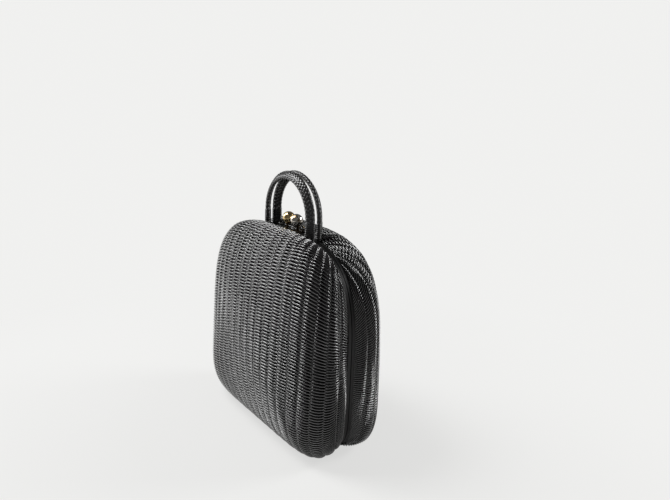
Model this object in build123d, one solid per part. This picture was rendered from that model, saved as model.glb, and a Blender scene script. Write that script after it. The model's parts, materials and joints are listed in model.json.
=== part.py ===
from build123d import *
import math
import os

# A black wicker clamshell handbag with two arched handles and a kiss-lock clasp.
# X runs across the bag, Y from its front to its back and Z up, in millimetres.
# The seam between the halves lies on Y = 0 and the bag stands on Z = 0.
# The front half is modelled, and the back half is the same one turned about Z.

# Solids that stand on the plane they are placed on
ALIGN_BASE = (Align.CENTER, Align.CENTER, Align.MIN)

# Rim of a half, where the wicker meets the frame
rim_half_width = 131.0
rim_top = 258.0
rim_waist = 116.0
top_squareness = 3.3
bottom_squareness = 6.5

# Dome of a half, from its rim to its face
dome_depth = 68.0
widest_depth = 24.0
dome_bulge = 5.2
dome_squareness = 2.4
face_lift = 18.0
depth_taper = 0.13

# Woven wall: stakes run up the bag under rows of fine reed
wall = 3.6
stake_columns = 27
stake_ridge = 1.9
ridge_run_out = 0.035
foot_wear = 0.45

# Metal hoop that each half is bound to, and the gap between the two hoops
seam_gap = 1.2
hoop_depth = 4.0
hoop_lip = 0.5

# Cloth lining, glued inside the wall behind the handle anchors
lining_edge_depth = 12.0
lining_thickness = 1.2
lining_gap = 1.0
lining_columns = 18

# Handle: a steel rod in a flat plaited wrap, bent to an arch
handle_half_span = 49.0
handle_rise = 71.0
handle_setback = 6.8
rod_diameter = 3.2
wrap_width = 11.0
wrap_thickness = 5.2
wrap_corner_share = 0.42
wrap_tilt = 45.0
wrap_foot_gap = 0.6
leg_pocket_clearance = 0.3
rod_drop = 11.0

# Anchor that holds a handle leg under the frame
anchor_thickness = 2.0
anchor_margin = 4.0
anchor_gap = 0.2
anchor_screw_offset = 11.0
nut_across_flats = 6.0
nut_height = 2.5
screw_diameter = 2.0
screw_head_diameter = 3.6
screw_head_height = 0.9

# Kiss-lock clasp: one ball on an arm for each half, side by side when shut
ball_diameter = 16.0
ball_offset = 9.0
ball_rise = 15.5
ball_socket_depth = 3.0
arm_diameter = 3.4
clasp_plate_length = 16.0
clasp_plate_thickness = 1.2
clasp_rivet_spacing = 11.0
rivet_diameter = 1.4
rivet_head_diameter = 2.4
rivet_head_height = 0.6

# Hinges under the frame
hinge_offset = 44.0
hinge_length = 28.0
hinge_knuckles = 4
knuckle_diameter = 4.4
knuckle_gap = 0.2
hinge_pin_diameter = 2.0
leaf_thickness = 1.0
hinge_rivet_spacing = 18.0

# Fits
running_clearance = 0.05
slip_clearance = 0.1
seat_gap = 0.05

# Values that follow from the ones above
widest_scale = 1 + dome_bulge / rim_half_width
rim_bottom = rim_waist + stake_ridge - (rim_waist + foot_wear) / widest_scale
hoop_front = seam_gap / 2
rim_depth = hoop_front + hoop_depth
hoop_middle = hoop_front + hoop_depth / 2
hoop_thickness = wall + 2 * hoop_lip
hoop_bottom = rim_bottom - hoop_lip
leaf_top = hoop_bottom - seat_gap
hinge_axis_height = leaf_top - leaf_thickness / 2 - knuckle_diameter / 2
hinge_rivet_setback = knuckle_diameter / 2 + rivet_head_diameter / 2 + 3 * running_clearance
ball_height = rim_top + ball_rise
anchor_screw_place = handle_half_span - anchor_screw_offset


def lame(along, across, squareness):
    """Distance from the centre of a unit Lame curve to its edge, in a direction."""
    return (abs(along) ** squareness + abs(across) ** squareness) ** (-1 / squareness)


def rim_outline(angle, inset=0.0):
    """Point of the rim's outline seen from the front, about the waist's centre."""
    half_width = rim_half_width - inset
    if math.sin(angle) >= 0:
        height, squareness = rim_top - rim_waist - inset, top_squareness
    else:
        height, squareness = rim_waist - rim_bottom - inset, bottom_squareness
    reach = lame(math.cos(angle) / half_width, math.sin(angle) / height, squareness)
    return reach * math.cos(angle), reach * math.sin(angle)


def profile_point(turn):
    """Scale of the outline and depth. Turn is 1 at the face, 0 where widest, -1 at the rim."""
    if turn >= 0:
        swing = turn * math.pi / 2
        reach = lame(math.cos(swing), math.sin(swing), dome_squareness)
        scale = widest_scale * reach * math.cos(swing)
        return scale, widest_depth + (dome_depth - widest_depth) * reach * math.sin(swing)
    scale = widest_scale - (widest_scale - 1) * turn**2
    return scale, widest_depth + (widest_depth - rim_depth) * turn


def profile_table(steps=240):
    """Turns of the profile with the share of its length that each is from the face."""
    turns = [1 - 2 * step / steps for step in range(steps + 1)]
    points = [profile_point(turn) for turn in turns]
    lengths = [0.0]
    for (scale_a, depth_a), (scale_b, depth_b) in zip(points, points[1:]):
        step = math.hypot((scale_b - scale_a) * rim_half_width, depth_b - depth_a)
        lengths.append(lengths[-1] + step)
    return [(length / lengths[-1], turn) for length, turn in zip(lengths, turns)]


profile_lengths = profile_table()


def turn_at(share):
    """Turn of the profile at a share of its length, from 0 at the face to 1 at the rim."""
    for (share_a, turn_a), (share_b, turn_b) in zip(profile_lengths, profile_lengths[1:]):
        if share <= share_b:
            return turn_a + (turn_b - turn_a) * (share - share_a) / (share_b - share_a)
    return -1.0


def share_at_depth(depth):
    """Share of the profile's length where the rim side of the dome has this depth."""
    turn = (depth - widest_depth) / (widest_depth - rim_depth)
    for (share_a, turn_a), (share_b, turn_b) in zip(profile_lengths, profile_lengths[1:]):
        if turn >= turn_b:
            return share_a + (share_b - share_a) * (turn - turn_a) / (turn_b - turn_a)
    return 1.0


def dome_point(u, v, inset, reach=1.0, ridge=0.0):
    """Point of the front dome where stake u crosses row v, both from -1 to 1.

    The square of stakes and rows is stretched over the dome, so that stakes curve
    round to the rim at its shoulders. Inset moves the point into the wall.
    """
    height, squareness = rim_top - rim_waist, top_squareness
    if v < 0:
        height, squareness = rim_waist - rim_bottom, bottom_squareness
    across = u * (1 - abs(v) ** squareness / 2) ** (1 / squareness)
    upward = v * (1 - abs(u) ** squareness / 2) ** (1 / squareness)
    share = min(1.0, (abs(across) ** squareness + abs(upward) ** squareness) ** (1 / squareness))
    angle = math.atan2(upward * height, across * rim_half_width)
    inset -= ridge * min(1.0, (1 - share) / ridge_run_out)
    scale, depth = profile_point(turn_at(share * reach))
    x, z = rim_outline(angle, inset)
    face_share = max(0.0, (depth - widest_depth) / (dome_depth - widest_depth))
    height = rim_waist + z * scale + face_lift * face_share**2
    depth -= inset * face_share
    past_edge = max(0.0, depth - lining_edge_depth)
    depth += past_edge * depth_taper * (1 - 2 * height / rim_top)
    return Vector(x * scale, -depth, height)


def dome_skin(columns, inset, reach=1.0, ridge=0.0, steps=20):
    """Strips of a dome surface between stake lines, and the wire round their rim."""
    stops = columns * (2 if ridge else 1)
    rows = [-1 + 2 * step / steps for step in range(steps + 1)]
    lines = []
    for stop in range(stops + 1):
        u = -1 + 2 * stop / stops
        raised = ridge if ridge and stop % 2 else 0.0
        lines.append([dome_point(u, v, inset, reach, raised) for v in rows])
    curves = [Edge.make_spline(line) for line in lines]
    faces = [Face.make_surface_from_curves(a, b) for a, b in zip(curves, curves[1:])]
    edges = [curves[0], curves[-1]]
    for end in (0, -1):
        ends = [line[end] for line in lines]
        edges += [Edge.make_line(a, b) for a, b in zip(ends, ends[1:])]
    return faces, Wire(edges)


def dome_shell(outer, inner):
    """Closed solid between two dome skins whose rims lie in one plane."""
    outer_faces, outer_rim = outer
    inner_faces, inner_rim = inner
    rim_face = Face(outer_rim, [inner_rim])
    return Solid(Shell(outer_faces + inner_faces + [rim_face]))


def woven_shell():
    """Woven wall with a ridge over each stake, worn flat underneath where it stands."""
    outer = dome_skin(stake_columns, 0.0, ridge=stake_ridge)
    inner = dome_skin(stake_columns, wall)
    shell = split(dome_shell(outer, inner), Plane.XY, keep=Keep.TOP)
    pocket_bottom = leg_foot_height() - leg_pocket_clearance
    pocket = extrude(wrap_outline(leg_pocket_clearance), handle_rise)
    rod_hole = Cylinder(rod_diameter / 2 + slip_clearance, rim_top)
    for side in (-1, 1):
        x = side * handle_half_span
        turned = pocket if side < 0 else mirror(pocket, about=Plane.YZ)
        shell -= Pos(x, -handle_setback, pocket_bottom) * turned
        shell -= Pos(x, -handle_setback, rim_top) * rod_hole
    return shell


def lining():
    """Thin cloth skin inside the wall, with its edge behind the handle anchors."""
    reach = share_at_depth(lining_edge_depth)
    outside = wall + lining_gap
    outer = dome_skin(lining_columns, outside, reach)
    inner = dome_skin(lining_columns, outside + lining_thickness, reach)
    return dome_shell(outer, inner)


def hoop_wire(inset, points=44):
    """Closed outline of the hoop, at an inset from the rim."""
    turns = [2 * math.pi * step / points for step in range(points)]
    outline = [rim_outline(turn, inset) for turn in turns]
    return Wire(Edge.make_spline([Vector(x, 0, rim_waist + z) for x, z in outline], periodic=True))


def frame_hoop():
    """Metal hoop that closes the edge of the woven wall."""
    ring = Face(hoop_wire(-hoop_lip), [hoop_wire(wall + hoop_lip)])
    hoop = Pos(0, -hoop_front, 0) * extrude(ring, hoop_depth, dir=(0, -1, 0))
    for x in hinge_rivet_places():
        hoop -= Pos(x, -hinge_rivet_setback, rim_bottom) * rivet_bore(hoop_thickness)
    for x in clasp_rivet_places():
        hoop -= Pos(x, -hoop_middle, rim_top) * rivet_bore(hoop_thickness)
    bore = Cylinder(screw_diameter / 2 + slip_clearance, 4 * hoop_thickness)
    for side in (-1, 1):
        hoop -= Pos(side * anchor_screw_place, -hoop_middle, rim_top) * bore
    return hoop


def rivet_bore(depth):
    """Clear bore for a rivet's shank, through more than the depth given."""
    return Cylinder(rivet_diameter / 2 + slip_clearance, 4 * depth)


def rivet(grip, low):
    """Rivet along Z with its lower head's underside at the height low."""
    shank_height = grip + 2 * rivet_head_height
    head = Cylinder(rivet_head_diameter / 2, rivet_head_height, align=ALIGN_BASE)
    shank = Cylinder(rivet_diameter / 2, shank_height, align=ALIGN_BASE)
    upper = Pos(0, 0, grip + rivet_head_height) * head
    return Pos(0, 0, low) * (shank + head + upper)


def hinge_rivet_places():
    """Places across the bag of the rivets through the hinge leaves."""
    halves = (-hinge_rivet_spacing / 2, hinge_rivet_spacing / 2)
    return [side * hinge_offset + half for side in (-1, 1) for half in halves]


def clasp_rivet_places():
    """Places across the bag of the rivets through the clasp plate."""
    halves = (-clasp_rivet_spacing / 2, clasp_rivet_spacing / 2)
    return [-ball_offset + half for half in halves]


def handle_path(low):
    """Arch of a handle: straight legs up from the height low, and a round top."""
    spring = rim_top + handle_rise - handle_half_span
    left = (-handle_half_span, -handle_setback)
    right = (handle_half_span, -handle_setback)
    crown = (0, -handle_setback, rim_top + handle_rise)
    up = Line((*left, low), (*left, spring))
    over = ThreePointArc((*left, spring), crown, (*right, spring))
    down = Line((*right, spring), (*right, low))
    return Wire([up.edge(), over.edge(), down.edge()])


def arch_height(x, inset):
    """Height of the rim's top at a place across the bag, at an inset from the rim."""
    share = x / (rim_half_width - inset)
    rise = (1 - share**top_squareness) ** (1 / top_squareness)
    return rim_waist + (rim_top - rim_waist - inset) * rise


def leg_foot_height():
    """Height of the foot of a handle's wrap, just over the hoop."""
    return arch_height(handle_half_span, -hoop_lip) + wrap_foot_gap


def handle_core():
    """Steel rod inside the wrap, with its ends through the wall for the nuts."""
    low = leg_foot_height() - rod_drop
    path = handle_path(low)
    start = Plane(origin=path @ 0, z_dir=path % 0)
    return sweep(start * Circle(rod_diameter / 2), path=path)


def wrap_outline(margin=0.0):
    """Tilted section of the wrap at the foot of the left leg, with a margin round it."""
    thickness = wrap_thickness + 2 * margin
    corner = wrap_corner_share * thickness
    band = RectangleRounded(wrap_width + 2 * margin, thickness, corner)
    return Rot(0, 0, 90 + wrap_tilt) * band


def handle_wrap():
    """Flat plaited wrap round the rod, its outer face turned forward and up."""
    path = handle_path(leg_foot_height())
    section = wrap_outline() - Circle(rod_diameter / 2 + running_clearance)
    return sweep(Pos(path @ 0) * section, path=path)


def anchor_top():
    """Height of the anchor plates, just under the hoop where a leg comes through."""
    return arch_height(handle_half_span + anchor_margin, wall + hoop_lip) - anchor_gap


def anchor_plates():
    """Plates under the hoop that the rods pass through, each held by a screw."""
    reach = handle_setback + nut_across_flats / 2
    length = anchor_screw_offset + 2 * anchor_margin
    plate = Box(length, reach - hoop_front, anchor_thickness)
    rod_bore = Cylinder(rod_diameter / 2 + slip_clearance, rim_top)
    screw_bore = Cylinder(screw_diameter / 2 + slip_clearance, rim_top)
    solids = []
    for side in (-1, 1):
        middle = side * (handle_half_span + anchor_screw_place) / 2
        height = anchor_top() - anchor_thickness / 2
        solid = Pos(middle, -(reach + hoop_front) / 2, height) * plate
        solid -= Pos(side * handle_half_span, -handle_setback, rim_top) * rod_bore
        solid -= Pos(side * anchor_screw_place, -hoop_middle, rim_top) * screw_bore
        solids.append(solid)
    return solids


def anchor_nuts():
    """Nuts on the ends of the rods, under the plates."""
    hexagon = RegularPolygon(nut_across_flats / 2, 6, major_radius=False)
    nut = extrude(hexagon - Circle(rod_diameter / 2 + running_clearance), -nut_height)
    low = anchor_top() - anchor_thickness
    return [Pos(side * handle_half_span, -handle_setback, low) * nut for side in (-1, 1)]


def anchor_screws():
    """Screws down through the hoop that hold the plates."""
    top = arch_height(anchor_screw_place - screw_head_diameter / 2, -hoop_lip) + seat_gap
    low = anchor_top() - anchor_thickness
    shank = Cylinder(screw_diameter / 2, top - low, align=ALIGN_BASE)
    head = Cylinder(screw_head_diameter / 2, screw_head_height, align=ALIGN_BASE)
    screw = Pos(0, 0, low) * shank + Pos(0, 0, top) * head
    return [Pos(side * anchor_screw_place, -hoop_middle, 0) * screw for side in (-1, 1)]


def clasp_line():
    """Foot of the clasp arm on its plate, and the centre of its ball."""
    foot = Vector(-ball_offset, -hoop_middle, rim_top + hoop_lip)
    centre = Vector(-ball_offset, 0, ball_height)
    return foot, centre


def clasp_arm():
    """Plate riveted on the hoop, with the leaning arm that carries the ball."""
    foot, centre = clasp_line()
    along = (centre - foot).normalized()
    tip = (centre - foot).length - ball_diameter / 2 + ball_socket_depth
    plate_width = hoop_depth - 2 * seat_gap
    plate = Box(clasp_plate_length, plate_width, clasp_plate_thickness, align=ALIGN_BASE)
    arm = Plane(origin=foot, z_dir=along) * Cylinder(arm_diameter / 2, tip, align=ALIGN_BASE)
    arm = split(arm, Plane.XY.offset(foot.Z + clasp_plate_thickness / 2), keep=Keep.TOP)
    solid = Pos(foot.X, foot.Y, foot.Z) * plate + arm
    for x in clasp_rivet_places():
        solid -= Pos(x, -hoop_middle, rim_top) * rivet_bore(hoop_thickness)
    return solid


def clasp_ball():
    """Polished ball with a socket for the arm's tip."""
    foot, centre = clasp_line()
    along = (centre - foot).normalized()
    start = centre - along * ball_diameter
    depth = ball_diameter / 2 + ball_socket_depth
    socket = Cylinder(arm_diameter / 2 + running_clearance, depth, align=ALIGN_BASE)
    ball = Pos(centre.X, centre.Y, centre.Z) * Sphere(ball_diameter / 2)
    return ball - Plane(origin=start, z_dir=along) * socket


def clasp_rivets():
    """Rivets that hold the clasp plate on the hoop."""
    grip = clasp_plate_thickness + hoop_thickness + 2 * seat_gap
    low = rim_top - wall - hoop_lip - rivet_head_height - 2 * seat_gap
    return [Pos(x, -hoop_middle, 0) * rivet(grip, low) for x in clasp_rivet_places()]


def hinge_leaf(x):
    """Leaf under the hoop with every second knuckle of its hinge."""
    pitch = hinge_length / hinge_knuckles
    reach = rim_depth - seat_gap
    clear = knuckle_diameter / 2 + knuckle_gap
    flap = Box(hinge_length, reach - clear, leaf_thickness)
    leaf = Pos(0, -(reach + clear) / 2, leaf_top - leaf_thickness / 2) * flap
    for knuckle in range(0, hinge_knuckles, 2):
        place = (knuckle + 0.5) * pitch - hinge_length / 2
        length = pitch - knuckle_gap
        bridge = Box(length, clear, leaf_thickness)
        leaf += Pos(place, -clear / 2, leaf_top - leaf_thickness / 2) * bridge
        barrel = Rot(0, 90, 0) * Cylinder(knuckle_diameter / 2, length)
        leaf += Pos(place, 0, hinge_axis_height) * barrel
    bore = Rot(0, 90, 0) * Cylinder(hinge_pin_diameter / 2 + running_clearance, hinge_length)
    leaf -= Pos(0, 0, hinge_axis_height) * bore
    for half in (-hinge_rivet_spacing / 2, hinge_rivet_spacing / 2):
        leaf -= Pos(half, -hinge_rivet_setback, leaf_top) * rivet_bore(leaf_thickness)
    return Pos(x, 0, 0) * leaf


def hinge_leaves():
    """Leaves of the two hinges on this half."""
    return [hinge_leaf(side * hinge_offset) for side in (-1, 1)]


def hinge_rivets():
    """Rivets up through the hinge leaves and the hoop."""
    low = leaf_top - leaf_thickness - rivet_head_height
    grip = leaf_thickness + hoop_thickness + 3 * seat_gap
    return [Pos(x, -hinge_rivet_setback, 0) * rivet(grip, low) for x in hinge_rivet_places()]


def hinge_pins():
    """Pins that both halves turn on."""
    pin = Rot(0, 90, 0) * Cylinder(hinge_pin_diameter / 2, hinge_length)
    return [Pos(side * hinge_offset, 0, hinge_axis_height) * pin for side in (-1, 1)]


half_pieces = {
    "woven_shell": woven_shell,
    "frame_hoop": frame_hoop,
    "lining": lining,
    "handle_core": handle_core,
    "handle_wrap": handle_wrap,
    "handle_anchor_plates": anchor_plates,
    "handle_anchor_nuts": anchor_nuts,
    "handle_anchor_screws": anchor_screws,
    "clasp_arm": clasp_arm,
    "clasp_ball": clasp_ball,
    "clasp_rivets": clasp_rivets,
    "hinge_leaves": hinge_leaves,
    "hinge_rivets": hinge_rivets,
}


def write(name, pieces):
    """Write one node, of one solid or of several like ones, to its own file."""
    solids = [solid for piece in pieces for solid in piece.solids()]
    export_step(Compound(solids), f"parts/{name}.step")


os.makedirs("parts", exist_ok=True)
for name, make in half_pieces.items():
    made = make()
    pieces = made if isinstance(made, list) else [made]
    write(f"front_{name}", pieces)
    write(f"back_{name}", [Rot(0, 0, 180) * piece for piece in pieces])
write("hinge_pins", hinge_pins())
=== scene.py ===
import json
import math

import bmesh
import bpy
import numpy as np
from mathutils import Matrix, Vector


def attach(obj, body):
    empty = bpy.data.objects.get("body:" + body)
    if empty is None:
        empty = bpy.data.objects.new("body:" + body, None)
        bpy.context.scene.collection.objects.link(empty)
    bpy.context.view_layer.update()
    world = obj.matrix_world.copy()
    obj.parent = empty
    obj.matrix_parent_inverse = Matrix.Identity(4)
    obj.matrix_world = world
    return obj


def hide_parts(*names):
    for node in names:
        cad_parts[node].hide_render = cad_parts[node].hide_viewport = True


# A black wicker clamshell handbag. The two halves are alike: everything is made for the front
# half, at -Y, and the back half's pieces are the same ones turned half way round the Z axis.

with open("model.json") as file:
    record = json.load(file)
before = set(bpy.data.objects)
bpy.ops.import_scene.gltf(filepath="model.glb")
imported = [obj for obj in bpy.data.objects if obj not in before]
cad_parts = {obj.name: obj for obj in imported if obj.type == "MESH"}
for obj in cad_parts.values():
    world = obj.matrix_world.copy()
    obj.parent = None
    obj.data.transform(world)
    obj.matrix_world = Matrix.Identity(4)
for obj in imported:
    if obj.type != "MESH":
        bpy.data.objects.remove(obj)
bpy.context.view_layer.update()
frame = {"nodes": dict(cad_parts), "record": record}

# The dome of a half, as the bag's solids have it, in millimetres
RIM_HALF_WIDTH = 131.0
RIM_TOP = 258.0
RIM_WAIST = 116.0
RIM_BOTTOM = 5.896
TOP_SQUARENESS = 3.3
BOTTOM_SQUARENESS = 6.5
DOME_DEPTH = 68.0
WIDEST_DEPTH = 24.0
WIDEST_SCALE = 1.0397
RIM_DEPTH = 4.6
DOME_SQUARENESS = 2.4
FACE_LIFT = 18.0
DEPTH_TAPER = 0.13
TAPER_START = 12.0
WALL = 3.6
STAKES = 21
MILLIMETRE = 0.001

# Weave: lengths in millimetres, with heights and insets measured from the dome's surface.
# ROW_END is a v, FLUTE_START a u, and REED_FILL the radius as a share of the gap between rows.
ROW_PAIRS = 86
ROW_END = 0.986
REED_SIDES = 5
REED_RADIUS = 1.15
REED_FILL = 0.58
REED_MIDDLE = -0.2
REED_SWING = 1.15
REED_SHIFT = 0.12
STAKE_INSET = 0.5
VALLEY_INSET = 1.9
FLUTE_START = 0.5
FLUTE_DEPTH = 0.8
FLUTE_RISE = 0.5

# Grains a metre of the noise that shifts the reeds, and what their guides store at each point
SHIFT_GRAINS = 260.0
GUIDE_ATTRIBUTES = ("outward", "rise", "lift", "gap")

# Places along a row within one stake's width, and how much of the swing the reed has there
COLUMN_PLACES = (-0.5, -0.38, -0.14, 0.14, 0.38)
COLUMN_SWINGS = (0.0, 0.78, 1.0, 1.0, 0.78)

# Handle: lengths in millimetres, with heights measured from the wrap's outline
HANDLE_HALF_SPAN = 49.0
HANDLE_SETBACK = 6.8
HANDLE_SPRING = 280.0
HANDLE_FOOT = 256.8
WRAP_HALF_WIDTH = 5.2
WRAP_HALF_THICKNESS = 2.3
WRAP_SQUARENESS = 2.8
PLAIT_STRANDS = 5
STRAP_COVER = 0.96
STRAP_SWING = 0.26
STRAP_CROWN = 0.28
STRAP_UNDERSIDE = -0.35
STRAP_STATIONS = 230
PLAIT_HEIGHT = 0.35
CORE_HEIGHT = -0.25
BINDING_LENGTH = 21.0
BINDING_PITCH = 2.4
BINDING_COVER = 0.98
BINDING_HEIGHT = 0.95
BINDING_STATIONS_A_TURN = 28

# Lining: lengths in millimetres, and points and puckers from edge to edge
LINING_INSET = 4.75
LINING_THICKNESS = 0.8
LINING_REACH_DEPTH = 12.0
SKIN_ROWS = 81
PUCKER_HEIGHT = 0.12
PUCKERS_ACROSS = 60
PUCKERS_UP = 54


class Field:
    """An output of a node. Arithmetic on it adds Math nodes to the same tree."""

    def __init__(self, tree, socket):
        self.tree = tree
        self.socket = socket

    def math(self, operation, other=0.0, swap=False):
        first, second = (other, self) if swap else (self, other)
        return self.tree.node("ShaderNodeMath", {"operation": operation}, {0: first, 1: second})

    def __add__(self, other):
        return self.math("ADD", other)

    __radd__ = __add__

    def __sub__(self, other):
        return self.math("SUBTRACT", other)

    def __rsub__(self, other):
        return self.math("SUBTRACT", other, swap=True)

    def __mul__(self, other):
        return self.math("MULTIPLY", other)

    __rmul__ = __mul__

    def above(self, low, high):
        """0 under low, 1 over high and a straight ramp between them."""
        settings = {"clamp": True}
        values = {"Value": self, "From Min": low, "From Max": high}
        return self.tree.node("ShaderNodeMapRange", settings, values)

    def beside(self, name):
        """Another output of the same node."""
        return Field(self.tree, self.socket.node.outputs[name])


class Tree:
    """A node tree, with one method that adds any node to it."""

    def __init__(self, node_tree):
        self.node_tree = node_tree
        node_tree.nodes.clear()

    def node(self, kind, settings=None, values=None, output=0):
        """Add a node with its settings and its inputs' values or links, and return an output."""
        made = self.node_tree.nodes.new(kind)
        for name, value in (settings or {}).items():
            setattr(made, name, value)
        for key, value in (values or {}).items():
            if isinstance(value, Field):
                self.node_tree.links.new(value.socket, made.inputs[key])
            else:
                made.inputs[key].default_value = value
        return Field(self, made.outputs[output]) if made.outputs else made

    def vector_math(self, operation, first, second, key=1):
        values = {0: first, key: second}
        return self.node("ShaderNodeVectorMath", {"operation": operation}, values)

    def mix(self, factor, first, second):
        """Blend of two colours. The colours' sockets are known only by their numbers."""
        values = {"Factor": factor, 6: first, 7: second}
        return self.node("ShaderNodeMix", {"data_type": "RGBA"}, values, output=2)


class Finish(Tree):
    """A material's nodes round one Principled BSDF."""

    def __init__(self, name):
        self.material = bpy.data.materials.new(name)
        self.material.use_nodes = True
        super().__init__(self.material.node_tree)

    def place(self):
        """Object coordinates, in metres."""
        return self.node("ShaderNodeTexCoord", output="Object")

    def noise(self, grains, detail=2.0, stretch=None):
        """Noise from 0 to 1 with about this many grains a metre."""
        where = self.place()
        if stretch:
            where = self.vector_math("MULTIPLY", where, stretch)
        values = {"Vector": where, "Scale": grains, "Detail": detail}
        return self.node("ShaderNodeTexNoise", {}, values)

    def bump(self, height, distance, strength):
        """Normal of a height from 0 to 1 that stands for this distance in metres."""
        values = {"Height": height, "Distance": distance, "Strength": strength}
        return self.node("ShaderNodeBump", {}, values)

    def principled(self, values):
        """Finish the material with the values or links of its shader's inputs."""
        surface = self.node("ShaderNodeBsdfPrincipled", {}, values)
        self.node("ShaderNodeOutputMaterial", {}, {"Surface": surface})
        return self.material


def lacquered_reed():
    """Black lacquer over reed: glossy, a little uneven, duller where dust has settled."""
    finish = Finish("lacquered_reed")
    cloud = finish.noise(28.0, detail=3.0)
    grain = finish.noise(900.0, detail=2.0)
    dull = cloud.above(0.35, 0.75)
    colour = finish.mix(dull, (0.004, 0.004, 0.004, 1), (0.011, 0.011, 0.011, 1))
    roughness = 0.17 + 0.09 * dull + 0.05 * grain
    return finish.principled({
        "Base Color": colour,
        "Roughness": roughness,
        "Specular IOR Level": 1.0,
        "Coat Weight": 1.0 - 0.3 * dull,
        "Coat IOR": 1.7,
        "Coat Roughness": 0.12,
        "Normal": finish.bump(grain, distance=0.00012, strength=0.5),
    })


def painted_shade_wall():
    """Dull, nearly black wall of stakes behind the reed: painted shade, far less glossy than the
    lacquered reed so that the gaps between the reeds read as shadowed.
    """
    finish = Finish("painted_shade_wall")
    cloud = finish.noise(90.0)
    # Painted shade: two near-black tones that vary at random, with low gloss so that the wall
    # stays black between the reeds
    colour = finish.mix(cloud, (0.003, 0.003, 0.003, 1), (0.008, 0.0075, 0.007, 1))
    return finish.principled({"Base Color": colour, "Roughness": 0.8, "Specular IOR Level": 0.1})


def patent_strap():
    """Black patent strap of the handles, worn to a soft gloss and finely creased."""
    finish = Finish("patent_strap")
    crease = finish.noise(420.0, detail=3.0)
    cloud = finish.noise(60.0)
    colour = finish.mix(cloud, (0.006, 0.006, 0.006, 1), (0.014, 0.013, 0.013, 1))
    return finish.principled({
        "Base Color": colour,
        "Roughness": 0.22 + 0.16 * cloud,
        "Coat Weight": 0.85,
        "Coat Roughness": 0.09,
        "Specular IOR Level": 0.5,
        "Normal": finish.bump(crease, distance=0.0002, strength=0.45),
    })


def enamelled_frame():
    """Black enamel on the metal hoops, satin and slightly orange-peeled."""
    finish = Finish("enamelled_frame")
    peel = finish.noise(700.0)
    wear = finish.noise(160.0, detail=4.0).above(0.66, 0.74)
    colour = finish.mix(wear, (0.004, 0.004, 0.004, 1), (0.03, 0.028, 0.025, 1))
    return finish.principled({
        "Base Color": colour,
        "Roughness": 0.42 + 0.15 * wear,
        "Metallic": 0.25 * wear,
        "Specular IOR Level": 0.35,
        "Normal": finish.bump(peel, distance=0.0001, strength=0.25),
    })


def polished_ball(name, bright, tarnish, spread):
    """Polished plating with tarnish that has crept over part of it."""
    finish = Finish(name)
    cloud = finish.noise(150.0, detail=4.0)
    scratch = finish.noise(260.0, detail=3.0, stretch=(1.0, 1.0, 7.0))
    patch = cloud.above(spread, spread + 0.16)
    return finish.principled({
        "Base Color": finish.mix(patch, bright, tarnish),
        "Metallic": 1.0,
        "Roughness": 0.1 + 0.16 * patch + 0.06 * scratch,
        "Normal": finish.bump(scratch, distance=0.00005, strength=0.3),
    })


def worn_metal(name, bright, dark, roughness):
    """Plain metal of the fittings, darkened unevenly."""
    finish = Finish(name)
    cloud = finish.noise(240.0, detail=4.0)
    return finish.principled({
        "Base Color": finish.mix(cloud.above(0.35, 0.7), bright, dark),
        "Metallic": 1.0,
        "Roughness": roughness + 0.2 * cloud,
        "Normal": finish.bump(cloud, distance=0.0001, strength=0.3),
    })


def lining_cloth():
    """Black cotton with a plain weave and a soft sheen."""
    finish = Finish("lining_cloth")
    uv = finish.node("ShaderNodeTexCoord", output="UV")
    bands = {"Vector": uv, "Scale": 130.0, "Distortion": 0.4}
    warp = finish.node("ShaderNodeTexWave", {"wave_type": "BANDS", "bands_direction": "X"}, bands)
    weft = finish.node("ShaderNodeTexWave", {"wave_type": "BANDS", "bands_direction": "Y"}, bands)
    cloud = finish.noise(30.0, detail=3.0)
    thread = warp * weft
    colour = finish.mix(thread, (0.018, 0.017, 0.017, 1), (0.05, 0.048, 0.046, 1))
    shade = finish.mix(cloud.above(0.3, 0.8), colour, (0.026, 0.025, 0.024, 1))
    return finish.principled({
        "Base Color": shade,
        "Roughness": 0.85,
        "Sheen Weight": 0.4,
        "Sheen Roughness": 0.5,
        "Normal": finish.bump(thread, distance=0.0002, strength=0.6),
    })


def lame(along, across, squareness):
    """Distance from the centre of a unit Lame curve to its edge, in a direction."""
    return (np.abs(along) ** squareness + np.abs(across) ** squareness) ** (-1 / squareness)


def rim_outline(angle, inset):
    """Points of the rim's outline seen from the front, about the waist's centre."""
    upper = np.sin(angle) >= 0
    height = np.where(upper, RIM_TOP - RIM_WAIST, RIM_WAIST - RIM_BOTTOM) - inset
    squareness = np.where(upper, TOP_SQUARENESS, BOTTOM_SQUARENESS)
    reach = lame(np.cos(angle) / (RIM_HALF_WIDTH - inset), np.sin(angle) / height, squareness)
    return reach * np.cos(angle), reach * np.sin(angle)


def profile(turn):
    """Scale of the outline and depth. Turn is 1 at the face, 0 where widest, -1 at the rim."""
    swing = np.clip(turn, 0, 1) * math.pi / 2
    reach = lame(np.cos(swing), np.sin(swing), DOME_SQUARENESS)
    face_scale = WIDEST_SCALE * reach * np.cos(swing)
    face_depth = WIDEST_DEPTH + (DOME_DEPTH - WIDEST_DEPTH) * reach * np.sin(swing)
    edge_scale = WIDEST_SCALE - (WIDEST_SCALE - 1) * turn**2
    edge_depth = WIDEST_DEPTH + (WIDEST_DEPTH - RIM_DEPTH) * turn
    on_face = turn >= 0
    return np.where(on_face, face_scale, edge_scale), np.where(on_face, face_depth, edge_depth)


def profile_table(steps=480):
    """Shares of the profile's length from the face, and the turns that they lie at."""
    turns = np.linspace(1, -1, steps + 1)
    scale, depth = profile(turns)
    lengths = np.hypot(np.diff(scale) * RIM_HALF_WIDTH, np.diff(depth))
    shares = np.concatenate([[0], np.cumsum(lengths)])
    return shares / shares[-1], turns


PROFILE_SHARES, PROFILE_TURNS = profile_table()


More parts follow.
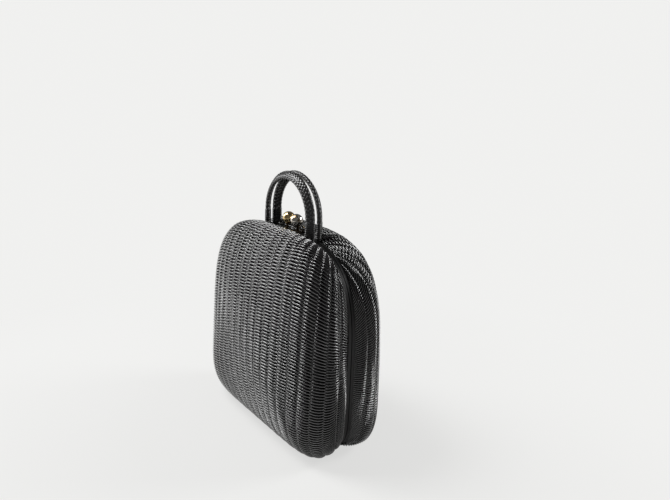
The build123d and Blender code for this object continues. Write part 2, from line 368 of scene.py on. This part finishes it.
def dome(u, v, inset=0.0, reach=1.0):
    """Points of the front dome, in millimetres, where stake u crosses row v, each from -1 to 1.

    Inset is how deep they are under its surface, and reach how much of its profile is covered.
    """
    u, v, inset = np.broadcast_arrays(*(np.asarray(value, float) for value in (u, v, inset)))
    squareness = np.where(v >= 0, TOP_SQUARENESS, BOTTOM_SQUARENESS)
    across = u * (1 - np.abs(v) ** squareness / 2) ** (1 / squareness)
    upward = v * (1 - np.abs(u) ** squareness / 2) ** (1 / squareness)
    share = (np.abs(across) ** squareness + np.abs(upward) ** squareness) ** (1 / squareness)
    share = np.minimum(1.0, share)
    height = np.where(v >= 0, RIM_TOP - RIM_WAIST, RIM_WAIST - RIM_BOTTOM)
    angle = np.arctan2(upward * height, across * RIM_HALF_WIDTH)
    scale, depth = profile(np.interp(share * reach, PROFILE_SHARES, PROFILE_TURNS))
    x, z = rim_outline(angle, inset)
    face_share = np.maximum(0.0, (depth - WIDEST_DEPTH) / (DOME_DEPTH - WIDEST_DEPTH))
    height = RIM_WAIST + z * scale + FACE_LIFT * face_share**2
    depth = depth - inset * face_share
    past_edge = np.maximum(0.0, depth - TAPER_START)
    depth = depth + past_edge * DEPTH_TAPER * (1 - 2 * height / RIM_TOP)
    return np.stack([x * scale, -depth, height], axis=-1)


def slope(function, value, step=1e-3):
    """Rate of change of a function of one value."""
    return (function(value + step) - function(value - step)) / (2 * step)


def half_turn(points):
    """The same points turned half way round the bag's upright axis."""
    return points * np.array([-1.0, -1.0, 1.0])


def mesh_object(name, points, faces=(), edges=(), material=None):
    """Object of one mesh from points in millimetres."""
    mesh = bpy.data.meshes.new(name)
    flat = np.asarray(points, float).reshape(-1, 3) * MILLIMETRE
    edge_lists = [list(edge) for edge in edges]
    face_lists = [list(face) for face in faces]
    mesh.from_pydata(flat.tolist(), edge_lists, face_lists)
    mesh.update()
    made = bpy.data.objects.new(name, mesh)
    bpy.context.scene.collection.objects.link(made)
    if material:
        mesh.materials.append(material)
    return made


def grid_faces(rows, columns, start=0, flip=False):
    """Four-sided faces of a grid of points stored row by row."""
    faces = []
    for row in range(rows - 1):
        for column in range(columns - 1):
            corner = start + row * columns + column
            face = (corner, corner + 1, corner + columns + 1, corner + columns)
            faces.append(face[::-1] if flip else face)
    return faces


def grid_border(rows, columns):
    """Indices of a grid's border points, in order round it."""
    bottom = list(range(columns))
    right = [row * columns + columns - 1 for row in range(1, rows)]
    top = [(rows - 1) * columns + column for column in range(columns - 2, -1, -1)]
    left = [row * columns for row in range(rows - 2, 0, -1)]
    return bottom + right + top + left


def smooth(made):
    """Smooth shading all over."""
    made.data.polygons.foreach_set("use_smooth", [True] * len(made.data.polygons))
    return made


def face_outwards(made):
    """Turn the normals of a closed mesh outwards."""
    work = bmesh.new()
    work.from_mesh(made.data)
    bmesh.ops.remove_doubles(work, verts=work.verts, dist=1e-7)
    bmesh.ops.recalc_face_normals(work, faces=work.faces)
    work.to_mesh(made.data)
    work.free()
    return made


def closed_shell(name, inset, thickness, ripple, turned, reach=1.0, columns=SKIN_ROWS, soft=False):
    """Closed skin that follows the dome between two insets, with its rim joined.

    Ripple adds to the inset of its outer face, and where the skin is soft of its inner one too.
    """
    u = np.linspace(-1, 1, columns)
    v = np.linspace(-1, 1, SKIN_ROWS)
    grid_v, grid_u = np.meshgrid(v, u, indexing="ij")
    wave = ripple(grid_u, grid_v)
    inner_wave = wave if soft else 0.0
    outer = dome(grid_u, grid_v, inset + wave, reach).reshape(-1, 3)
    inner = dome(grid_u, grid_v, inset + thickness + inner_wave, reach).reshape(-1, 3)
    count = SKIN_ROWS * columns
    faces = grid_faces(SKIN_ROWS, columns) + grid_faces(SKIN_ROWS, columns, count, flip=True)
    border = grid_border(SKIN_ROWS, columns)
    for a, b in zip(border, border[1:] + border[:1]):
        faces.append((a, a + count, b + count, b))
    points = np.concatenate([outer, inner])
    made = mesh_object(name, half_turn(points) if turned else points, faces)
    layer = made.data.uv_layers.new(name="cloth")
    corners = np.zeros(len(made.data.loops), int)
    made.data.loops.foreach_get("vertex_index", corners)
    places = np.stack([grid_u.ravel(), grid_v.ravel()], axis=-1)[corners % count]
    layer.data.foreach_set("uv", places.ravel())
    return smooth(face_outwards(made))


def add_attribute(made, name, kind, values):
    """Store one value for each point of a mesh."""
    attribute = made.data.attributes.new(name, kind, "POINT")
    key = "vector" if kind == "FLOAT_VECTOR" else "value"
    attribute.data.foreach_set(key, np.asarray(values, np.float32).ravel())


def strand_guides(name, u, v, lift, row_gap, turned):
    """Lines of points for strands on the dome, with what the strand tree needs at each.

    Lift is the strand's height over the dome in millimetres, and row_gap its distance in v to
    the next strand.
    """
    lines, samples = u.shape
    points = dome(u, v)
    outward = dome(u, v, -0.5) - dome(u, v, 0.5)
    rise = slope(lambda w: dome(u, w), v)
    run = slope(lambda w: dome(w, v), u)
    span = np.linalg.norm(np.cross(run, rise), axis=-1)
    gap = span / np.linalg.norm(run, axis=-1) * row_gap
    rise = rise / np.linalg.norm(rise, axis=-1, keepdims=True)
    if turned:
        points, outward, rise = half_turn(points), half_turn(outward), half_turn(rise)
    starts = np.arange(lines)[:, None] * samples + np.arange(samples - 1)
    edges = np.stack([starts, starts + 1], axis=-1).reshape(-1, 2)
    made = mesh_object(name, points, edges=edges)
    kinds = ("FLOAT_VECTOR", "FLOAT_VECTOR", "FLOAT", "FLOAT")
    values = (outward, rise, lift * MILLIMETRE, gap * MILLIMETRE)
    for attribute, kind, value in zip(GUIDE_ATTRIBUTES, kinds, values):
        add_attribute(made, attribute, kind, value)
    return made


def even_rows(steps=800):
    """Places v of the pairs of reeds, at even distances along the middle of the dome."""
    v = np.linspace(-1, 1, steps + 1)
    middle = dome(np.zeros_like(v), v)
    lengths = np.concatenate([[0], np.cumsum(np.linalg.norm(np.diff(middle, axis=0), axis=-1))])
    ends = np.interp([-ROW_END, ROW_END], v, lengths)
    return np.interp(np.linspace(*ends, ROW_PAIRS), lengths, v)


def flute(u):
    """How much deeper the valleys between the stakes are towards the rim, from 0 to 1."""
    share = np.clip((np.abs(u) - FLUTE_START) / (1 - FLUTE_START), 0, 1)
    return share * share * (3 - 2 * share)


def row_guides(name, turned):
    """Guides of the reeds. Each pair is twined: the two take turns to pass over a stake.

    The reed that is over climbs as it goes to the right, and comes back down behind.
    """
    places = even_rows()
    half_gap = np.gradient(places) / 2
    columns = np.arange(STAKES)[:, None]
    u = -1 + 2 * (columns + 0.5 + np.array(COLUMN_PLACES)) / STAKES
    u = np.append(u.ravel(), 1.0)
    swing = np.append(np.tile(COLUMN_SWINGS, STAKES), 0.0)
    climb = np.append(np.tile(COLUMN_PLACES, STAKES), -0.5)
    column = np.append(np.repeat(np.arange(STAKES), len(COLUMN_PLACES)), STAKES)
    reed = np.arange(2 * ROW_PAIRS)
    side = 1 - 2 * ((column + reed[:, None]) % 2)
    gap = np.repeat(half_gap, 2)[:, None]
    grid_v = np.clip(np.repeat(places, 2)[:, None] + gap * climb * side, -ROW_END, ROW_END)
    grid_u = np.broadcast_to(u, grid_v.shape)
    lift = REED_MIDDLE + REED_SWING * side * swing
    lift = lift + flute(grid_u) * (FLUTE_RISE * swing - FLUTE_DEPTH * (1 - swing))
    return strand_guides(name, grid_u, grid_v, lift, gap, turned)


def strand_tree():
    """Geometry nodes that turn guides into round strands which rise and dip."""
    group = bpy.data.node_groups.new("woven_strands", "GeometryNodeTree")
    tree = Tree(group)
    sockets = {
        "Guides": "NodeSocketGeometry",
        "Largest radius": "NodeSocketFloat",
        "Fill": "NodeSocketFloat",
        "Shift": "NodeSocketFloat",
        "Sides": "NodeSocketInt",
        "Lowest": "NodeSocketFloat",
        "Finish": "NodeSocketMaterial",
    }
    for label, kind in sockets.items():
        group.interface.new_socket(label, in_out="INPUT", socket_type=kind)
    group.interface.new_socket("Strands", in_out="OUTPUT", socket_type="NodeSocketGeometry")
    start = group.nodes.new("NodeGroupInput")
    given = {label: Field(tree, start.outputs[label]) for label in sockets}

    def stored(name, kind):
        return tree.node("GeometryNodeInputNamedAttribute", {"data_type": kind}, {"Name": name})

    place = tree.node("GeometryNodeInputPosition")
    noise_values = {"Vector": place, "Scale": SHIFT_GRAINS, "Detail": 1.0}
    noise = tree.node("ShaderNodeTexNoise", {"noise_dimensions": "3D"}, noise_values)
    shift = (noise - 0.5) * given["Shift"] * 2.0
    lift = stored("lift", "FLOAT")
    out = tree.vector_math("SCALE", stored("outward", "FLOAT_VECTOR"), lift, key="Scale")
    up = tree.vector_math("SCALE", stored("rise", "FLOAT_VECTOR"), shift, key="Scale")
    offset = tree.vector_math("ADD", out, up)
    curves = tree.node("GeometryNodeMeshToCurve", {}, {"Mesh": given["Guides"]})
    moved = tree.node("GeometryNodeSetPosition", {}, {"Geometry": curves, "Offset": offset})
    thin = stored("gap", "FLOAT") * given["Fill"]
    radius = thin.math("MINIMUM", given["Largest radius"])
    sized = tree.node("GeometryNodeSetCurveRadius", {}, {"Curve": moved, "Radius": radius})
    ring_values = {"Resolution": given["Sides"], "Radius": 1.0}
    ring = tree.node("GeometryNodeCurvePrimitiveCircle", {"mode": "RADIUS"}, ring_values)
    tube = tree.node("GeometryNodeCurveToMesh", {}, {
        "Curve": sized,
        "Profile Curve": ring,
        "Scale": tree.node("GeometryNodeInputRadius"),
        "Fill Caps": True,
    })
    x = tree.node("ShaderNodeSeparateXYZ", {}, {"Vector": tree.node("GeometryNodeInputPosition")})
    height = x.beside("Z").math("MAXIMUM", given["Lowest"])
    worn = tree.node("ShaderNodeCombineXYZ", {}, {"X": x, "Y": x.beside("Y"), "Z": height})
    rested = tree.node("GeometryNodeSetPosition", {}, {"Geometry": tube, "Position": worn})
    rounded = tree.node("GeometryNodeSetShadeSmooth", {}, {"Geometry": rested})
    realized = tree.node("GeometryNodeRealizeInstances", {}, {"Geometry": rounded})
    finish_values = {"Geometry": realized, "Material": given["Finish"]}
    coloured = tree.node("GeometryNodeSetMaterial", {}, finish_values)
    tree.node("NodeGroupOutput", {}, {"Strands": coloured})
    return group


def grow(guides, group, settings):
    """Run a strand tree on its guides and keep the result as a plain mesh."""
    modifier = guides.modifiers.new("strands", "NODES")
    modifier.node_group = group
    for item in group.interface.items_tree:
        if item.in_out == "INPUT" and item.name in settings:
            modifier[item.identifier] = settings[item.name]
    bpy.context.view_layer.update()
    view = guides.evaluated_get(bpy.context.evaluated_depsgraph_get())
    mesh = bpy.data.meshes.new_from_object(view)
    name = guides.name
    old = guides.data
    bpy.data.objects.remove(guides)
    bpy.data.meshes.remove(old)
    mesh.name = name
    for attribute in GUIDE_ATTRIBUTES:
        if attribute in mesh.attributes:
            mesh.attributes.remove(mesh.attributes[attribute])
    made = bpy.data.objects.new(name, mesh)
    bpy.context.scene.collection.objects.link(made)
    return made


def rounded_section(samples=400):
    """Outline of the handle's wrap by distance round it, and its outward normals."""
    angle = np.linspace(0, 2 * math.pi, samples + 1)
    wide = np.cos(angle) / WRAP_HALF_WIDTH
    thin = np.sin(angle) / WRAP_HALF_THICKNESS
    reach = lame(wide, thin, WRAP_SQUARENESS)
    points = np.stack([reach * np.cos(angle), reach * np.sin(angle)], axis=-1)
    length = np.concatenate([[0], np.cumsum(np.linalg.norm(np.diff(points, axis=0), axis=-1))])
    tangent = np.gradient(points, axis=0)
    tangent[0] = tangent[-1] = tangent[0] + tangent[-1]
    normal = np.stack([tangent[:, 1], -tangent[:, 0]], axis=-1)
    normal /= np.linalg.norm(normal, axis=-1, keepdims=True)
    return length, points, normal


SECTION_LENGTH, SECTION_POINTS, SECTION_NORMALS = rounded_section()
SECTION_ROUND = SECTION_LENGTH[-1]
LEG = HANDLE_SPRING - HANDLE_FOOT
HANDLE_LENGTH = 2 * LEG + math.pi * HANDLE_HALF_SPAN


def handle_point(along, around, height):
    """Points on the handle: along it from its left foot, around its wrap and over it."""
    along, around, height = np.broadcast_arrays(along, around, height)
    turn = np.clip((along - LEG) / HANDLE_HALF_SPAN, 0, math.pi)
    past = np.maximum(0, along - LEG - math.pi * HANDLE_HALF_SPAN)
    before = np.minimum(0, along - LEG)
    outward = np.stack([-np.cos(turn), np.zeros_like(turn), np.sin(turn)], axis=-1)
    middle = outward * HANDLE_HALF_SPAN
    middle[..., 1] -= HANDLE_SETBACK
    middle[..., 2] += HANDLE_SPRING + before - past
    sideways = np.zeros_like(outward)
    sideways[..., 1] = 1.0
    wide = (outward + sideways) / math.sqrt(2)
    thin = (outward - sideways) / math.sqrt(2)
    where = np.mod(around, SECTION_ROUND)
    point = [np.interp(where, SECTION_LENGTH, SECTION_POINTS[:, axis]) for axis in (0, 1)]
    normal = [np.interp(where, SECTION_LENGTH, SECTION_NORMALS[:, axis]) for axis in (0, 1)]
    first = (point[0] + normal[0] * height)[..., None]
    second = (point[1] + normal[1] * height)[..., None]
    return middle + wide * first + thin * second


def strap_faces(stations, columns, start):
    """Faces of a closed strap whose section has this many points."""
    faces = []
    for station in range(stations - 1):
        for column in range(columns):
            a = start + station * columns + column
            b = start + station * columns + (column + 1) % columns
            faces.append((a, b, b + columns, a + columns))
    faces.append(tuple(start + column for column in range(columns))[::-1])
    last = start + (stations - 1) * columns
    faces.append(tuple(last + column for column in range(columns)))
    return faces


def strap_section(width):
    """Offsets across a strap and heights over it, round its closed section."""
    top = np.linspace(-0.5, 0.5, 5)
    crown = STRAP_CROWN * (1 - (2 * top) ** 2)
    across = np.concatenate([top, [0.5, -0.5]]) * width
    height = np.concatenate([crown, [STRAP_UNDERSIDE, STRAP_UNDERSIDE]])
    return across, height


def plait_strap(strand, handed):
    """One strap of the plait, winding round the handle as it goes along it.

    Handed is 1 or -1, the way that it winds.
    """
    spacing = SECTION_ROUND / PLAIT_STRANDS
    across, height = strap_section(spacing / math.sqrt(2) * STRAP_COVER)
    centre = np.linspace(0, HANDLE_LENGTH, STRAP_STATIONS)[:, None]
    along = centre - handed * across / math.sqrt(2)
    around = strand * spacing + handed * centre + across / math.sqrt(2)
    crossing = (around + handed * along) / spacing
    over = np.cos(math.pi * (strand + crossing)) * handed
    return handle_point(along, around, PLAIT_HEIGHT + height + STRAP_SWING * over)


def binding_strap(first_end):
    """Narrow strap bound round a leg over the plait, from its foot."""
    turns = BINDING_LENGTH / BINDING_PITCH
    stations = int(turns * BINDING_STATIONS_A_TURN)
    across, height = strap_section(BINDING_PITCH * BINDING_COVER)
    centre = np.linspace(0, turns, stations)[:, None]
    along = centre * BINDING_PITCH + across
    around = centre * SECTION_ROUND + across * BINDING_PITCH / SECTION_ROUND
    if not first_end:
        along = HANDLE_LENGTH - along
    return handle_point(along, around, BINDING_HEIGHT + height)


def handle_core_skin(stations=90, columns=40):
    """Black core under the plait, so that no gap in it shows through."""
    along = np.linspace(0, HANDLE_LENGTH, stations)[:, None]
    around = np.linspace(0, SECTION_ROUND, columns, endpoint=False)[None, :]
    return handle_point(along, around, np.full((stations, columns), CORE_HEIGHT))


def plaited_handle(name, turned, material):
    """Plaited wrap of one handle with its bound feet."""
    parts = [handle_core_skin()]
    for handed in (-1, 1):
        for strand in range(PLAIT_STRANDS):
            parts.append(plait_strap(strand, handed))
    parts += [binding_strap(True), binding_strap(False)]
    faces = []
    start = 0
    for part in parts:
        stations, columns, _ = part.shape
        faces += strap_faces(stations, columns, start)
        start += stations * columns
    points = np.concatenate([part.reshape(-1, 3) for part in parts])
    made = mesh_object(name, half_turn(points) if turned else points, faces, material=material)
    return smooth(face_outwards(made))


def lining_ripple(u, v):
    """Soft puckers of the cloth where the dome turns, in millimetres."""
    edge = np.maximum(np.abs(u), np.abs(v)) ** 3
    return PUCKER_HEIGHT * edge * np.cos(PUCKERS_ACROSS * u) * np.cos(PUCKERS_UP * v)


def stake_ridge(u, v):
    """Rise of the wall over each stake, in millimetres, as a change of inset."""
    over = (1 - np.cos(math.pi * (u + 1) * STAKES)) / 2
    return (STAKE_INSET - VALLEY_INSET) * over + FLUTE_DEPTH * flute(u) * (1 - over)


def finishes():
    """Material of each slot in the record."""
    return {
        "wicker": lacquered_reed(),
        "black_frame": enamelled_frame(),
        "lining_cloth": lining_cloth(),
        "steel_rod": worn_metal(
            "steel_rod", (0.5, 0.5, 0.5, 1), (0.3, 0.29, 0.28, 1), roughness=0.3),
        "patent_wrap": patent_strap(),
        "fitting_steel": worn_metal(
            "fitting_steel", (0.34, 0.33, 0.31, 1), (0.16, 0.14, 0.12, 1), roughness=0.34),
        "clasp_metal": worn_metal(
            "clasp_metal", (0.08, 0.055, 0.03, 1), (0.03, 0.022, 0.016, 1), roughness=0.34),
        "gold_ball": polished_ball(
            "gold_ball", (0.93, 0.72, 0.38, 1), (0.4, 0.25, 0.09, 1), spread=0.5),
        "silver_ball": polished_ball(
            "silver_ball", (0.86, 0.83, 0.78, 1), (0.42, 0.3, 0.16, 1), spread=0.5),
    }


materials = finishes()
# Matte black finish of the stakes' wall, painted shade for the gaps between the reeds
painted_shade_finish = painted_shade_wall()

for subpart in frame["record"]["subparts"]:
    node = frame["nodes"][subpart["node"]]
    node.data.materials.clear()
    node.data.materials.append(materials[subpart["material_slot"]])

strands = strand_tree()
row_settings = {
    "Largest radius": REED_RADIUS * MILLIMETRE,
    "Fill": REED_FILL,
    "Shift": REED_SHIFT * MILLIMETRE,
    "Sides": REED_SIDES,
    "Lowest": 0.0,
    "Finish": materials["wicker"],
}

# Share of the dome's profile that the lining covers, from the face to its edge
lining_turn = (LINING_REACH_DEPTH - WIDEST_DEPTH) / (WIDEST_DEPTH - RIM_DEPTH)
lining_reach = float(np.interp(lining_turn, PROFILE_TURNS[::-1], PROFILE_SHARES[::-1]))

for half, turned in (("front", False), ("back", True)):
    body = half + "_half"
    rows = grow(row_guides(half + "_reed_rows", turned), strands, row_settings)
    wall = closed_shell(half + "_staked_wall", VALLEY_INSET, WALL - VALLEY_INSET,
                        stake_ridge, turned, columns=4 * STAKES + 1)
    # The stakes' wall takes the painted-shade finish, so the gaps between the reeds read black
    wall.data.materials.append(painted_shade_finish)
    for piece in (rows, wall):
        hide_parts(half + "_woven_shell")
        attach(piece, body)
    handle = plaited_handle(half + "_plaited_handle", turned, materials["patent_wrap"])
    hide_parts(half + "_handle_wrap")
    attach(handle, body)
    cloth = closed_shell(half + "_cloth_lining", LINING_INSET, LINING_THICKNESS,
                         lining_ripple, turned, reach=lining_reach, soft=True)
    cloth.data.materials.append(materials["lining_cloth"])
    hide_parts(half + "_lining")
    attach(cloth, body)


# Camera at the photograph's angle, in degrees and metres. The sensor is in millimetres.
CAMERA_AZIMUTH = 53.27
CAMERA_ELEVATION = 15.15
CAMERA_ROLL = 2.3
CAMERA_DISTANCE = 0.82217
CAMERA_SIDE = 0.05464
CAMERA_HEIGHT = 0.23527
FOCAL_PIXELS = 647.05
PICTURE_WIDTH = 670.0
SENSOR_WIDTH = 36.0

# Studio, in metres except for the floor's radius, which is in millimetres. NEAR_GLOW is the share
# of the background's colour that the camera sees in the floor near the bag. From FADE_END away
# from the origin on, it sees only that colour.
BAG_MIDDLE = Vector((0, 0, 0.13))
BACKGROUND = (0.875, 0.875, 0.865, 1)
FLOOR_COLOUR = (0.86, 0.86, 0.85, 1)
FLOOR_RADIUS = 9000.0
FLOOR_SIDES = 64
FADE_START = 0.2
FADE_END = 0.6
NEAR_GLOW = 0.74
ROOM_LIGHT = 0.1


def camera_frame():
    """Level right direction, and the camera's own right, up and back directions."""
    azimuth = math.radians(CAMERA_AZIMUTH)
    elevation = math.radians(CAMERA_ELEVATION)
    roll = math.radians(CAMERA_ROLL)
    right = Vector((math.cos(azimuth), math.sin(azimuth), 0))
    flat = math.cos(elevation)
    back = Vector((math.sin(azimuth) * flat, -math.cos(azimuth) * flat, math.sin(elevation)))
    up = back.cross(right)
    rolled_right = right * math.cos(roll) + up * math.sin(roll)
    rolled_up = up * math.cos(roll) - right * math.sin(roll)
    return right, rolled_right, rolled_up, back


def make_camera():
    """Camera where the photograph was taken from."""
    right, rolled_right, rolled_up, back = camera_frame()
    data = bpy.data.cameras.new("camera")
    data.sensor_width = SENSOR_WIDTH
    data.lens = FOCAL_PIXELS * SENSOR_WIDTH / PICTURE_WIDTH
    data.clip_start = 0.01
    data.clip_end = 60
    made = bpy.data.objects.new("camera", data)
    bpy.context.scene.collection.objects.link(made)
    turn = Matrix((rolled_right, rolled_up, back)).transposed().to_4x4()
    spot = right * CAMERA_SIDE + Vector((0, 0, CAMERA_HEIGHT)) + back * CAMERA_DISTANCE
    made.matrix_world = Matrix.Translation(spot) @ turn
    bpy.context.scene.camera = made


def soft_light(name, towards, distance, size, power):
    """Square soft box that faces the bag's middle from a direction, in metres and watts."""
    data = bpy.data.lights.new(name, "AREA")
    data.size = size
    data.energy = power
    made = bpy.data.objects.new(name, data)
    bpy.context.scene.collection.objects.link(made)
    direction = Vector(towards).normalized()
    made.location = BAG_MIDDLE + direction * distance
    made.rotation_mode = "QUATERNION"
    made.rotation_quaternion = direction.to_track_quat("Z", "Y")


def make_floor():
    """Pale floor that fades to the background's colour far from the bag."""
    turns = np.linspace(0, 2 * math.pi, FLOOR_SIDES + 1)[:-1]
    circle = np.stack([np.cos(turns), np.sin(turns), np.zeros_like(turns)], axis=-1)
    made = mesh_object("floor", FLOOR_RADIUS * circle, [range(FLOOR_SIDES)])
    finish = Finish("pale_floor")
    place = finish.place()
    away = finish.node("ShaderNodeVectorMath", {"operation": "LENGTH"}, {0: place}, output="Value")
    far = NEAR_GLOW + (1 - NEAR_GLOW) * away.above(FADE_START, FADE_END)
    camera_ray = finish.node("ShaderNodeLightPath", output="Is Camera Ray")
    plain = finish.node("ShaderNodeBsdfDiffuse", {}, {"Color": FLOOR_COLOUR})
    glow = finish.node("ShaderNodeEmission", {}, {"Color": BACKGROUND, "Strength": 1.0})
    surface = finish.node("ShaderNodeMixShader", {}, {0: far * camera_ray, 1: plain, 2: glow})
    finish.node("ShaderNodeOutputMaterial", {}, {"Surface": surface})
    made.data.materials.append(finish.material)


def make_world():
    """Even light from all round, seen as the pale background."""
    world = bpy.data.worlds.new("studio")
    bpy.context.scene.world = world
    world.use_nodes = True
    tree = Tree(world.node_tree)
    camera_ray = tree.node("ShaderNodeLightPath", output="Is Camera Ray")
    seen = camera_ray.math("MAXIMUM", camera_ray.beside("Is Transmission Ray"))
    plain = tree.node("ShaderNodeBackground", {}, {"Color": (1, 1, 1, 1), "Strength": ROOM_LIGHT})
    shown = tree.node("ShaderNodeBackground", {}, {"Color": BACKGROUND, "Strength": 1.0})
    surface = tree.node("ShaderNodeMixShader", {}, {0: seen, 1: plain, 2: shown})
    tree.node("ShaderNodeOutputWorld", {}, {"Surface": surface})


make_camera()
make_floor()
make_world()
soft_light("overhead", towards=(-0.35, -0.35, 0.85), distance=1.6, size=0.6, power=15)
soft_light("window", towards=(-0.75, -0.5, 0.45), distance=1.6, size=0.6, power=8)
soft_light("left_card", towards=(-0.85, -0.55, 0.05), distance=1.5, size=1.2, power=3)
soft_light("right_box", towards=(0.35, 0.75, 0.45), distance=1.5, size=0.5, power=11)
bpy.context.scene.view_settings.view_transform = "Standard"
